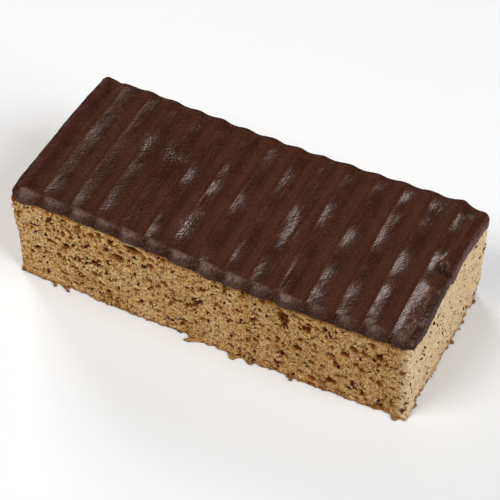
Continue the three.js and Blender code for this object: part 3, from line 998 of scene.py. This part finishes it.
shaded = bench.axis(place, 0).between(-80, 80)
clump = bench.clouds(place, 0.95, 3.0)
pinhole = (1 - bench.cells(place, 1.05).between(0.18, 0.42)) * (1 - hole.between(0.2, 0.6))
below = bench.noted("below_icing") + (bench.clouds(place, 2.0) - 0.5) * 2.0
clean = bench.noted("clean") * (1 - hole.between(0.2, 0.8))
baked = 1 - (height_up + (bench.clouds(place, 3.0) - 0.5) * 3.0).between(0.2, 3.0)
dust_draw = bench.axis(bench.cells(place, 1.3, out="Color"), 0)
dust = (1 - bench.cells(place, 1.3).between(0.12, 0.24)) * dust_draw.between(0.86, 0.9)
brown = bench.paint(colour(206, 166, 101), [
    (bench.clouds(place, 14.0, 3.0).between(0.3, 0.7), (224, 193, 136)),
    (bench.clouds(place, 1.6, 3.0).between(0.4, 0.7) * 0.75, (174, 118, 46)),
    (shaded * 0.55, (172, 131, 81)),
    # painted shade: amber in the hollows of the clumps, then a painted highlight: cream on their crests
    (clump.between(0.5, 0.68) * 0.6, (160, 102, 36)),
    ((1 - clump.between(0.34, 0.48)) * 0.45, (238, 215, 174)),
    # painted shade: holes are painted browner and darker the deeper they are
    (hole.between(0.05, 0.5) * 0.85, (140, 76, 16)),
    (hole.between(0.4, 1.6) * 0.85, (80, 36, 8)),
    # painted shade: the pinholes as brown dots
    (pinhole * 0.6, (122, 66, 14)),
    ((1 - below.between(0.4, 1.8)) * 0.7, (140, 80, 26)),
    (clean * 0.6, (240, 220, 186)),
    # painted shade: amber in the clumps' hollows on the cut end too
    (clean * clump.between(0.48, 0.64) * 0.4, (178, 128, 62)),
    (baked * 0.65, (128, 76, 32)),
    (dust * 0.85, (66, 30, 26)),
])
fine = bench.clouds(place, 1.3, 2.0) - clump * 0.8 - pinhole
bench.show(bench.surface(brown, 0.9, 0.05, {"Normal": bench.bump(fine, 0.9, 0.6)}))
crumb_face.data.materials.append(crumb_finish)

# %% [markdown]
# ## Specks of banana
#
# The fine threads and seeds of banana turn nearly black in the oven. They lie in the crumb, some
# on the walls between the holes and some inside them. One speck is modelled, a small ball pressed
# out of round, and a scatter of nodes sets over a thousand on the sides, each turned and sized by
# a seeded draw. It keeps them off the base and gathers them in loose clusters.

# %% Nodes that scatter a grain
def scatter_tree(name, grain, per_cm2, smallest, largest, seed, keep):
    """Nodes that set copies of a grain over a mesh where keep says so, and join them."""
    tree, bench = new_tree(name)
    ground = bench.node("NodeGroupInput")
    in_mm = bench.scaled(bench.node("GeometryNodeInputPosition"), 1 / MM)
    density = keep(bench, in_mm) * (per_cm2 * 1e4)
    scatter_inputs = {"Mesh": ground, "Density": density, "Seed": seed}
    spots = bench.node("GeometryNodeDistributePointsOnFaces", {}, scatter_inputs)
    original = bench.node("GeometryNodeObjectInfo", {}, {"Object": grain}, out="Geometry")
    turn_inputs = {"Max": (math.tau, math.tau, math.tau), "Seed": seed + 1}
    turn = bench.node("FunctionNodeRandomValue", {"data_type": "FLOAT_VECTOR"}, turn_inputs, out=0)
    size_inputs = {2: 0.0, 3: 1.0, "Seed": seed + 2}
    draw = bench.node("FunctionNodeRandomValue", {"data_type": "FLOAT"}, size_inputs, out=1)
    size = draw**2.0 * (largest - smallest) + smallest
    placed_inputs = {"Points": spots, "Instance": original, "Rotation": turn, "Scale": size}
    placed = bench.node("GeometryNodeInstanceOnPoints", {}, placed_inputs)
    joined = bench.node("GeometryNodeRealizeInstances", {}, {0: placed})
    bench.add("NodeGroupOutput", {}, {0: joined})
    return tree


def scatter(name, ground, tree):
    """A new piece: what the scatter tree makes on a copy of the ground."""
    piece = ground.copy()
    piece.data = ground.data.copy()
    piece.name = piece.data.name = name
    bpy.context.scene.collection.objects.link(piece)
    piece.data.materials.clear()
    run_nodes(piece, tree)
    return piece


# %% Model one speck and scatter it
SPECK = 0.5  # radius before each is sized
SPECKS_PER_CM2, THREADS_PER_CM2 = 3.0, 3.2

ball_add = bpy.ops.mesh.primitive_ico_sphere_add
seed_grain = begin("seed_grain", ball_add, subdivisions=1, radius=SPECK * MM)
bpy.ops.object.mode_set(mode="EDIT")
bpy.ops.transform.resize(value=(1.5, 0.8, 0.55))
bpy.ops.transform.vertex_random(offset=0.14 * MM, seed=5)
bpy.ops.object.mode_set(mode="OBJECT")


def on_the_sides(bench, in_mm):
    outward = bench.node("GeometryNodeInputNormal")
    below = bench.node("GeometryNodeInputNamedAttribute", {"data_type": "FLOAT"}, {"Name": "below_icing"})
    sides = (1 - bench.axis(outward, 2).math("ABSOLUTE").between(0.7, 0.9)) * below.between(0.2, 0.6)
    clusters = bench.clouds(in_mm, 7.0, 2.0).between(0.48, 0.64) * 2.8 + 0.15
    return sides * clusters * (1 - bench.axis(outward, 0).between(0.6, 0.9) * 0.4)


specks_tree = scatter_tree("specks", seed_grain, SPECKS_PER_CM2, 0.45, 1.0, 11, on_the_sides)
threads_tree = scatter_tree("threads", seed_grain, THREADS_PER_CM2, 0.9, 2.2, 17, on_the_sides)
banana_specks = scatter("banana_specks", crumb_face, specks_tree)
banana_threads = scatter("banana_threads", crumb_face, threads_tree)
pick(banana_specks, banana_threads)
bpy.ops.object.join()
bpy.data.objects.remove(seed_grain)
print("speck triangles:", count_triangles(banana_specks))

# %% Darken the specks
speck_finish, bench = new_finish("speck_finish")
place = bench.place()
on_cut_end = bench.axis(place, 0).between(97.5, 98.5)
dark = bench.paint(colour(50, 20, 18), [
    (bench.clouds(place, 5.0).between(0.35, 0.65), (74, 34, 26)),
    (on_cut_end * 0.7, (104, 66, 44)),
])
bench.show(bench.surface(dark, 0.8, 0.1))
banana_specks.data.materials.clear()
banana_specks.data.materials.append(speck_finish)

# %% [markdown]
# ## Torn shreds at the foot
#
# Where the bar was lifted off its paper the skin of the base tore, and thin browned tongues of it
# stick out from under the sides. One tongue is modelled flat, a grid pulled to a point, with a
# ragged outline and a little thickness. A copy of it is then set at each place with its own reach,
# width and lean.

# %% Model a shred and set its copies
# Each shred: the place along its side, its reach, its width, how far its tip leans along the side.
SHREDS = {
    "front": [
        (-80.5, 3.2, 4, 0.5), (-77, 3.2, 6, 4.5), (-55, 1.2, 5, 0.5), (-2, 4.2, 10, -6.5),
        (15.5, 4.2, 9, -0.5), (22, 3.2, 8, 2.0), (44, 3.2, 5, 0.5), (95.5, 2.2, 7, 0.0),
    ],
    "right": [(-34, 1.6, 6, 0.8), (8, 2.2, 5, 0.0), (22, 1.6, 5, -0.5), (35, 1.6, 6, 0.5)],
    "back": [(-71, 1.5, 6, 1.0), (-26, 4.2, 7, 2.0), (37, 2.2, 5, -1.0), (78, 1.4, 8, 0.0)],
    "left": [(-18, 2.2, 6, 1.0), (24, 1.3, 5, 0.5)],
}
ROOT = 3.0  # how far a shred starts inside the side
SHRED_THICK = 1.0
CLEARANCE = 0.06  # of its underside, off the floor
TURN = {"front": -90, "right": 0, "back": 90, "left": 180}  # degrees, from +X to outward


def model_shred(name, seed):
    """A tongue along +X, 1 long, 1 wide at its root and 1 thick, in millimetres."""
    tongue = begin(name, grid_add, x_subdivisions=16, y_subdivisions=8, size=MM)
    bpy.ops.object.mode_set(mode="EDIT")
    bpy.ops.mesh.select_all(action="SELECT")
    bpy.ops.mesh.extrude_region_move(TRANSFORM_OT_translate={"value": (0, 0, MM)})
    bpy.ops.mesh.select_all(action="SELECT")
    bpy.ops.mesh.normals_make_consistent(inside=False)
    bpy.ops.object.mode_set(mode="OBJECT")
    x, y, z = points(tongue).T
    along = np.clip(x + 0.5, 0, 1)
    wave = soft_noise(along * 5, np.sign(y), seed)
    width = mix(1.0, 0.25, along**1.4) * (1 + 0.5 * wave)
    tip = mix(1.0, 0.4, smooth_step(along * 1.2 - 0.2))
    rough = soft_noise(x * 9, y * 9, z + seed)
    z = (z - 0.5) * tip + 0.5 + 0.35 * rough * along
    carve(tongue, np.stack([along, y * width, z], axis=1))
    return tongue


def set_shred(original, side, place, reach, width, lean):
    """A copy of the tongue that starts inside a side and sticks out of it."""
    copy = original.copy()
    copy.data = original.data.copy()
    bpy.context.scene.collection.objects.link(copy)
    x, y, z = points(copy).T
    length = ROOT + reach
    outward = x * length - ROOT
    sideways = y * width + lean * smooth_step(outward / reach)
    half = WIDTH / 2 if side in ("front", "back") else LENGTH / 2
    angle = math.radians(TURN[side])
    away, across = half + outward, place * (1 if side in ("front", "right") else -1)
    local_y = sideways + across
    put_x = away * math.cos(angle) - local_y * math.sin(angle)
    put_y = away * math.sin(angle) + local_y * math.cos(angle)
    carve(copy, np.stack([put_x, put_y, CLEARANCE + z * SHRED_THICK], axis=1))
    return copy


tongues = [model_shred(f"tongue_{seed}", seed) for seed in (3, 8, 14)]
shreds = [(side, *shred) for side, along_it in SHREDS.items() for shred in along_it]
set_out = [set_shred(tongues[n % 3], *shred) for n, shred in enumerate(shreds)]
pick(*set_out)
bpy.ops.object.join()
torn_shreds = bpy.context.object
torn_shreds.name = torn_shreds.data.name = "torn_shreds"
bpy.ops.object.shade_smooth()
for tongue in tongues:
    bpy.data.objects.remove(tongue)
print("shred triangles:", count_triangles(torn_shreds))

# %% [markdown]
# ## Loose crumbs
#
# The foot is fringed with crumbs that cling to it, and a few fine ones fell on the icing. Both are
# a scatter again, of one small knobbly grain.

# %% Model a crumb and scatter it
FOOT_CRUMBS_PER_CM2, ICING_CRUMBS_PER_CM2 = 24, 0.5

knob = begin("knob", ball_add, subdivisions=2, radius=0.5 * MM)
bpy.ops.object.mode_set(mode="EDIT")
bpy.ops.transform.resize(value=(1.2, 0.9, 0.7))
bpy.ops.transform.vertex_random(offset=0.12 * MM, seed=9)
bpy.ops.object.mode_set(mode="OBJECT")


def at_the_foot(bench, in_mm):
    height_up = bench.axis(in_mm, 2)
    return height_up.between(0.1, 0.6) * (1 - height_up.between(0.9, 2.6))


def on_the_top(bench, in_mm):
    up = bench.axis(bench.node("GeometryNodeInputNormal"), 2)
    return up.between(0.7, 0.9) * bench.clouds(in_mm, 30.0, 1.0).between(0.45, 0.65)


foot_tree = scatter_tree("foot", knob, FOOT_CRUMBS_PER_CM2, 0.5, 1.9, 31, at_the_foot)
dust_tree = scatter_tree("dust", knob, ICING_CRUMBS_PER_CM2, 0.2, 0.5, 41, on_the_top)
foot_crumbs = scatter("foot_crumbs", crumb_face, foot_tree)
icing_crumbs = scatter("icing_crumbs", icing_coat, dust_tree)
bpy.data.objects.remove(knob)
print("crumb triangles:", count_triangles(foot_crumbs), count_triangles(icing_crumbs))

# %% Brown the shreds and crumbs
shred_finish, bench = new_finish("shred_finish")
place = bench.place()
tone = bench.clouds(place, 2.2, 3.0).between(0.35, 0.65)
baked_brown = bench.blend(tone, colour(118, 76, 34), colour(172, 132, 80))
bump = bench.bump(bench.clouds(place, 0.7, 2.0), 0.7, 0.3)
bench.show(bench.surface(baked_brown, 0.9, 0.25, {"Normal": bump}))
for piece in (torn_shreds, foot_crumbs, icing_crumbs):
    piece.data.materials.clear()
    piece.data.materials.append(shred_finish)
for piece in (crumb_face, banana_specks, torn_shreds, foot_crumbs):
    resting = points(piece)
    resting[:, 2] = np.maximum(resting[:, 2], 0)  # what reaches the floor lies flat on it
    carve(piece, resting)

# %% [markdown]
# ## The setting
#
# A pale floor under a soft studio light. The camera looks down at the bar from its front right
# corner. A low softbox at the back left draws the glossy patches on the steep flanks; a broad lamp
# at the right lights the cut end, and a softbox in front lights the long side and the ridges' ends.

# %% Floor and lamps
floor = begin("floor", bpy.ops.mesh.primitive_plane_add, size=6)
floor_finish, bench = new_finish("floor_finish")
bench.show(bench.surface((0.89, 0.915, 0.94, 1), 0.9, 0.1))
floor.data.materials.append(floor_finish)


def lamp(name, direction, distance, size, watts, tint=(1.0, 1.0, 1.0)):
    """A square softbox that looks at the middle of the bar from a direction."""
    light = bpy.data.lights.new(name, "AREA")
    light.size = size
    light.energy = watts
    light.color = tint
    stand = bpy.data.objects.new(name, light)
    bpy.context.scene.collection.objects.link(stand)
    toward = Vector(direction).normalized()
    stand.location = toward * distance
    stand.rotation_euler = (-toward).to_track_quat("-Z", "Y").to_euler()


lamp("back_left_softbox", (-0.71, 0.60, 0.37), 3.0, 1.1, 50, (1.0, 0.97, 0.96))
lamp("right_lamp", (0.9, -0.15, 0.75), 3.0, 1.7, 66)
lamp("front_lamp", (-0.31, -0.50, 0.81), 3.0, 1.3, 48, (1.0, 0.95, 0.9))

studio = bpy.data.worlds.new("studio")
bpy.context.scene.world = studio
studio.use_nodes = True
studio.node_tree.nodes["Background"].inputs["Color"].default_value = (1, 1, 1, 1)
studio.node_tree.nodes["Background"].inputs["Strength"].default_value = 0.06

# %% Camera
AZIMUTH, ELEVATION, ROLL = (math.radians(angle) for angle in (27.2784, 47.6721, -0.137))
CAMERA_DISTANCE = 845.0  # from the middle of the base
AIM_RIGHT, AIM_UP = 0.66, 14.12  # how far off the middle of the base the camera looks
LENS = 127.65  # mm, on a sensor 36 mm wide

level_out = math.cos(ELEVATION)
back = Vector((math.sin(AZIMUTH) * level_out, -math.cos(AZIMUTH) * level_out, math.sin(ELEVATION)))
right = Vector((math.cos(AZIMUTH), math.sin(AZIMUTH), 0))
up = back.cross(right)
lens = bpy.data.cameras.new("camera")
lens.lens = LENS
lens.sensor_width = 36
camera = bpy.data.objects.new("camera", lens)
bpy.context.scene.collection.objects.link(camera)
turned = Matrix((right, up, back)).transposed().to_4x4() @ Matrix.Rotation(ROLL, 4, "Z")
camera.matrix_world = turned
camera.location = (back * CAMERA_DISTANCE + right * AIM_RIGHT + up * AIM_UP) * MM
bpy.context.scene.camera = camera
bpy.context.scene.view_settings.view_transform = "Standard"

# %% [markdown]
# ## Joining the frame
#
# Each piece rides on the cake's one body. The two dressed pieces stand for the two solids, which are
# hidden.

# %% Hand the pieces over
for piece in (crumb_face, banana_specks, torn_shreds, foot_crumbs, icing_crumbs):
    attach(piece, "root")
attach(icing_coat, "root")
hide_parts("crumb")
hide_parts("icing")

print("solids' box:", cad_box)
